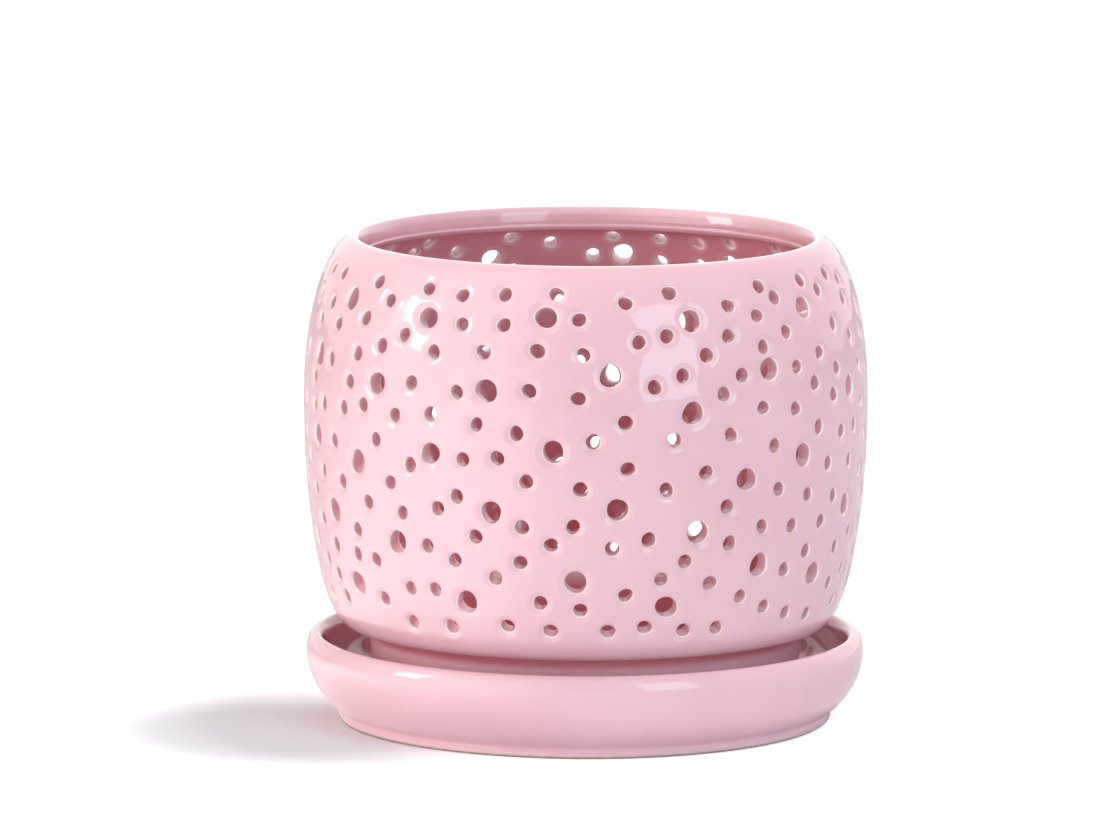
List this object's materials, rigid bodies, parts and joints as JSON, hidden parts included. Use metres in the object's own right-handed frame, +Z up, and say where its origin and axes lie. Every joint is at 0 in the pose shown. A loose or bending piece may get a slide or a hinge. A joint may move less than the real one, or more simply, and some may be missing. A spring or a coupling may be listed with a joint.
{
  "type": "orchid pot",
  "caption": "Glazed orchid pot with a swelling wall pierced all over by round air holes, a rolled lip and a narrow foot, standing loose in a deep round saucer.",
  "frame": {"origin": "centre of the saucer's underside, on the surface that it stands on", "axes": "+Z up along the common axis of pot and saucer, with the pictured side facing -Y"},
  "size_m": [0.1664, 0.1664, 0.1434],
  "materials": {
    "saucer_glaze": "high gloss",
    "pot_glaze": "high gloss"
  },
  "bodies": {
    "saucer": {"saucer": "saucer_glaze"},
    "pot": {"pot": "pot_glaze"}
  },
  "joints": [
    {"name": "pot_lift", "type": "slide", "parent": "saucer", "child": "pot", "axis": [0, 0, 1], "range_m": [0, 0.06]}
  ]
}
